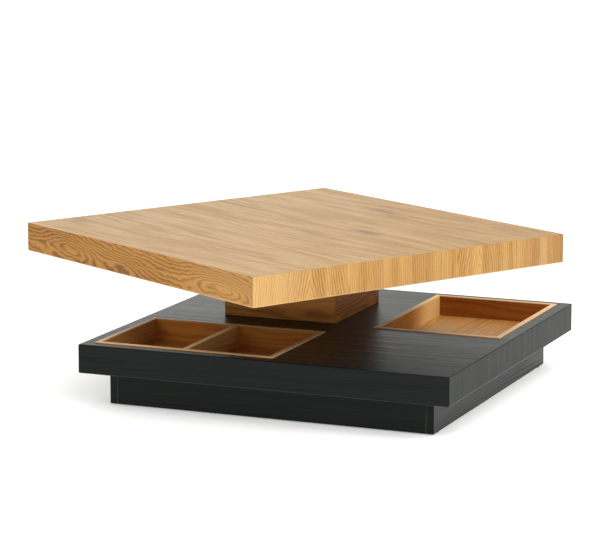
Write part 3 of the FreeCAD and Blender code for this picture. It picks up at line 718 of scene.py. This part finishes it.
stem = reckon("SUBTRACT", given["Length"], neck)
core = shape("GeometryNodeMeshCylinder", Vertices=CORE_SIDES, Depth=stem,
             Radius=reckon("MULTIPLY", given["Shank"], CORE_RADIUS))
core = raised(core, reckon("ADD", neck, reckon("MULTIPLY", stem, 0.5)))
threaded = reckon("MULTIPLY", stem, THREAD_SHARE)
thread_radius = reckon("MULTIPLY", given["Shank"], THREAD_RADIUS)
helix = shape("GeometryNodeCurveSpiral", Resolution=THREAD_STEPS, Height=threaded,
              Start_Radius=thread_radius, End_Radius=thread_radius,
              Rotations=reckon("DIVIDE", threaded, given["Pitch"]))
ridge = shape("GeometryNodeCurvePrimitiveCircle", Resolution=RIDGE_SIDES,
              Radius=reckon("MULTIPLY", given["Shank"], RIDGE_RADIUS))
thread = shape("GeometryNodeCurveToMesh", Curve=helix, Profile_Curve=ridge, Fill_Caps=True)
thread = raised(thread, reckon("ADD", neck, reckon("MULTIPLY", stem, THREAD_START)))
print("thread has", THREAD_STEPS, "steps a turn, tree has", len(screw_tree.nodes), "nodes")

# %% [markdown]
# Head, core and thread are joined and set on the points. Instances would be lost when the model is
# exported, so the tree ends by making them real and giving them their finish.

# %% Copies
whole = screw_tree.nodes.new("GeometryNodeJoinGeometry")
for part in (thread, core, head):
    screw_tree.links.new(part, whole.inputs[0])
copies = shape("GeometryNodeInstanceOnPoints", Points=given["Places"], Instance=whole.outputs[0],
               Rotation=shape("ShaderNodeCombineXYZ", X=given["Tilt"]))
coated = shape("GeometryNodeSetMaterial", Geometry=shape("GeometryNodeRealizeInstances", Geometry=copies),
               Material=given["Finish"])
screw_tree.links.new(coated, screw_tree.nodes.new("NodeGroupOutput").inputs[0])
print("screw tree of", len(screw_tree.nodes), "nodes")

# %% [markdown]
# ## Where the screws sit
# The places of the screws are read from the frame: every loose pin in a group is one screw, and the
# middle of the pin's box is its axis. Typing the places in would work too, until somebody changed the
# frame. A copy of the mesh is merged first, because the frame's triangles are loose, and then walked
# from corner to corner.

# %% Pins in the frame
MERGE_DISTANCE = 1e-6


def loose_boxes(name):
    """Lowest and highest corner of every separate solid in a frame node."""
    copy = bmesh.new()
    copy.from_mesh(nodes[name].data)
    bmesh.ops.remove_doubles(copy, verts=copy.verts, dist=MERGE_DISTANCE)
    waiting, boxes = set(copy.verts), []
    while waiting:
        trail, found = [waiting.pop()], []
        while trail:
            vert = trail.pop()
            found.append(vert.co.copy())
            fresh = {edge.other_vert(vert) for edge in vert.link_edges} & waiting
            waiting -= fresh
            trail.extend(fresh)
        boxes.append([Vector([pick(spot[i] for spot in found) for i in range(3)]) for pick in (min, max)])
    copy.free()
    return sorted(boxes, key=lambda box: tuple(box[0]))


print("the plinth has", len(loose_boxes("plinth_fixing_screws")), "pins")

# %% [markdown]
# The tree now runs on the points of each group. The outcome is turned into a plain mesh, which rides
# with the body that the pins belong to and stands in for them. Each group gives its body, the widths
# of head and shank, and whether the heads look up.

# %% Screws in place
THREAD_PITCH = 0.0022
SCREW_GROUPS = [
    ("plinth_fixing_screws", "base", 0.010, 0.0050, False),
    ("pedestal_fixing_screws", "base", 0.010, 0.0050, False),
    ("lower_plate_screws", "base", 0.0085, 0.0045, True),
    ("upper_plate_screws", "tabletop", 0.0085, 0.0045, False),
]


def grown(name, tree, inputs, points, values):
    """Run a geometry tree on some points and keep the outcome as a plain mesh object."""
    seed_mesh = bpy.data.meshes.new(name + "_places")
    seed_mesh.from_pydata(points, [], [])
    piece = bpy.data.objects.new(name, seed_mesh)
    bpy.context.scene.collection.objects.link(piece)
    modifier = piece.modifiers.new("make", "NODES")
    modifier.node_group = tree
    for label, value in values.items():
        modifier[inputs[label]] = value
    shaped = bpy.data.meshes.new_from_object(piece.evaluated_get(bpy.context.evaluated_depsgraph_get()))
    piece.modifiers.remove(modifier)
    piece.data = shaped
    bpy.data.meshes.remove(seed_mesh)
    return piece


for group, body, head_size, shank_size, head_up in SCREW_GROUPS:
    boxes = loose_boxes(group)
    places = [((low.x + high.x) / 2, (low.y + high.y) / 2, high.z if head_up else low.z)
              for low, high in boxes]
    cut = grown("cut_" + group, screw_tree, screw_inputs, places, {
        "Head": head_size, "Shank": shank_size, "Length": boxes[0][1].z - boxes[0][0].z,
        "Pitch": THREAD_PITCH, "Tilt": math.pi if head_up else 0.0, "Finish": zinc})
    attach(cut, body)
    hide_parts(group)
    print(cut.name, len(places), "screws,", len(cut.data.polygons), "faces")

# %% [markdown]
# ## Bare joint lines on the plinth
# The front and back boards of the plinth stand between the side boards. Their sawn ends were never
# stained, so a hair of dusty bare wood shows in the groove of each upright joint. A painted line
# would stay on one face, so we lay in a real strip with a shallow crown. It fills the groove and
# stops short of the boards' faces and ends.

# %% Joint strips
LINE_WIDE, LINE_SUNK, LINE_SHORT = 0.0006, 0.0003, 0.0006
CROWN_DEEP, STRIP_DEEP = LINE_SUNK + 0.0002, LINE_SUNK + 0.0007
SECTION = [(-0.5, STRIP_DEEP), (-0.5, CROWN_DEEP), (0.0, LINE_SUNK), (0.5, CROWN_DEEP), (0.5, STRIP_DEEP)]

strips = bmesh.new()
low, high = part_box("plinth_front_board")
for side, wall in ((-1, low[1]), (1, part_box("plinth_back_board")[1][1])):
    for end in (low[0], high[0]):
        foot, top = [[strips.verts.new((end + across * LINE_WIDE, wall - side * deep, height))
                      for across, deep in SECTION]
                     for height in (low[2] + LINE_SHORT, high[2] - LINE_SHORT)]
        for i in range(len(SECTION)):
            j = (i + 1) % len(SECTION)
            strips.faces.new((foot[i], foot[j], top[j], top[i]))
        strips.faces.new(foot)
        strips.faces.new(top)
bmesh.ops.recalc_face_normals(strips, faces=strips.faces)
line_data = bpy.data.meshes.new("plinth_joint_lines")
strips.to_mesh(line_data)
strips.free()
print("joint strips at", round(low[0], 3), round(high[0], 3), "with", len(line_data.polygons), "faces")

# %% [markdown]
# The strips get the same wood recipe in grey brown, with the grain upright and hundreds of lines to
# the metre, as the end of a sawn board has. They belong to the base and ride with it.

# %% Joint lines
BARE_TONES = (122, 118, 104), (104, 98, 84), (70, 62, 50)
bare_wood = veneer("bare_board_end", "z", "x", BARE_TONES, lines=400, figure=3, rough=(0.6, 0.8))
line_data.materials.append(bare_wood)
joint_lines = bpy.data.objects.new("plinth_joint_lines", line_data)
bpy.context.scene.collection.objects.link(joint_lines)
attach(joint_lines, "base")
print(joint_lines.name, "in", bare_wood.name)

# %% [markdown]
# ## Floor
# The table stands on a white floor that runs out far past the picture, so there is no horizon. It
# glows faintly by itself, which keeps the shadow under the table soft and pale, as on a lit studio
# sweep. It is part of the stage and not of the table.

# %% Floor
FLOOR_HALF = 30.0
FLOOR_ROUGH, FLOOR_GLOW = 0.9, 0.28
floor_mesh = bpy.data.meshes.new("studio_floor")
corners = [(x * FLOOR_HALF, y * FLOOR_HALF, 0.0) for x, y in ((-1, -1), (1, -1), (1, 1), (-1, 1))]
floor_mesh.from_pydata(corners, [], [(0, 1, 2, 3)])
floor = bpy.data.objects.new("studio_floor", floor_mesh)
bpy.context.scene.collection.objects.link(floor)
pale_floor = Finish("pale_floor")
for label, value in (("Base Color", linear(250, 250, 250)), ("Roughness", FLOOR_ROUGH),
                     ("Emission Color", (1.0, 1.0, 1.0, 1.0)), ("Emission Strength", FLOOR_GLOW)):
    pale_floor.shader.inputs[label].default_value = value
floor_mesh.materials.append(pale_floor.material)
print("floor is", 2 * FLOOR_HALF, "m wide")

# %% [markdown]
# ## Sky
# Black wood mirrors whatever stands behind it, so the sky matters as much as the lamps. An even white
# would make every black face the same grey. This one is faintly warm, and brighter overhead and
# behind the table: the dot product of the direction with a lean adds to an even level, and never
# falls below a least level.

# %% Sky
SKY_EVEN, SKY_LEAST, SKY_LEAN = 0.56, 0.1, (0.0, 0.27, 0.65)
SKY_TINT = (1.0, 1.0, 0.955, 1.0)
world = bpy.data.worlds.new("studio_sky")
world.use_nodes = True
sky_tree = world.node_tree
direction = add_node(sky_tree, "ShaderNodeTexCoord").outputs["Generated"]
rise = add_node(sky_tree, "ShaderNodeVectorMath", {0: direction, 1: SKY_LEAN}, operation="DOT_PRODUCT")
glow = add_node(sky_tree, "ShaderNodeMath", {0: rise.outputs["Value"], 1: SKY_EVEN}, operation="ADD")
glow = add_node(sky_tree, "ShaderNodeMath", {0: glow.outputs[0], 1: SKY_LEAST}, operation="MAXIMUM")
sky = sky_tree.nodes["Background"]
sky.inputs["Color"].default_value = SKY_TINT
sky_tree.links.new(glow.outputs[0], sky.inputs["Strength"])
bpy.context.scene.world = world
print("sky's level rises to", round(SKY_EVEN + SKY_LEAN[2], 2), "overhead")

# %% [markdown]
# ## Lamps
# Four soft boxes light the table. The key stands high on the right and makes the folded end the
# brightest side. One in front lights the lively edge, and a weaker one fills from the left. A very
# weak low one far behind on the left only draws the grey sheen on the base's left part. The Standard
# view keeps colours as they were written.

# %% Lamps
TABLE_MIDDLE = (0.0, 0.0, 0.25)


def softbox(name, place, width, height, watts):
    """A rectangular lamp that looks at the middle of the table and isn't seen itself."""
    data = bpy.data.lights.new(name, "AREA")
    data.shape = "RECTANGLE"
    data.size, data.size_y = width, height
    data.energy = watts
    light = bpy.data.objects.new(name, data)
    light.location = place
    light.visible_camera = False
    light.rotation_euler = (Vector(TABLE_MIDDLE) - Vector(place)).to_track_quat("-Z", "Y").to_euler()
    bpy.context.scene.collection.objects.link(light)
    print(name, watts, "W")


softbox("key_light", (3.2, -0.2, 2.6), 1.6, 1.4, 42.0)
softbox("front_light", (1.4, -2.2, 2.2), 1.4, 1.2, 21.0)
softbox("sheen_light", (-1.9, 3.0, 0.9), 1.6, 1.0, 2.2)
softbox("fill_light", (-1.8, -3.2, 2.2), 2.0, 1.6, 16.0)
bpy.context.scene.view_settings.view_transform = "Standard"

# %% [markdown]
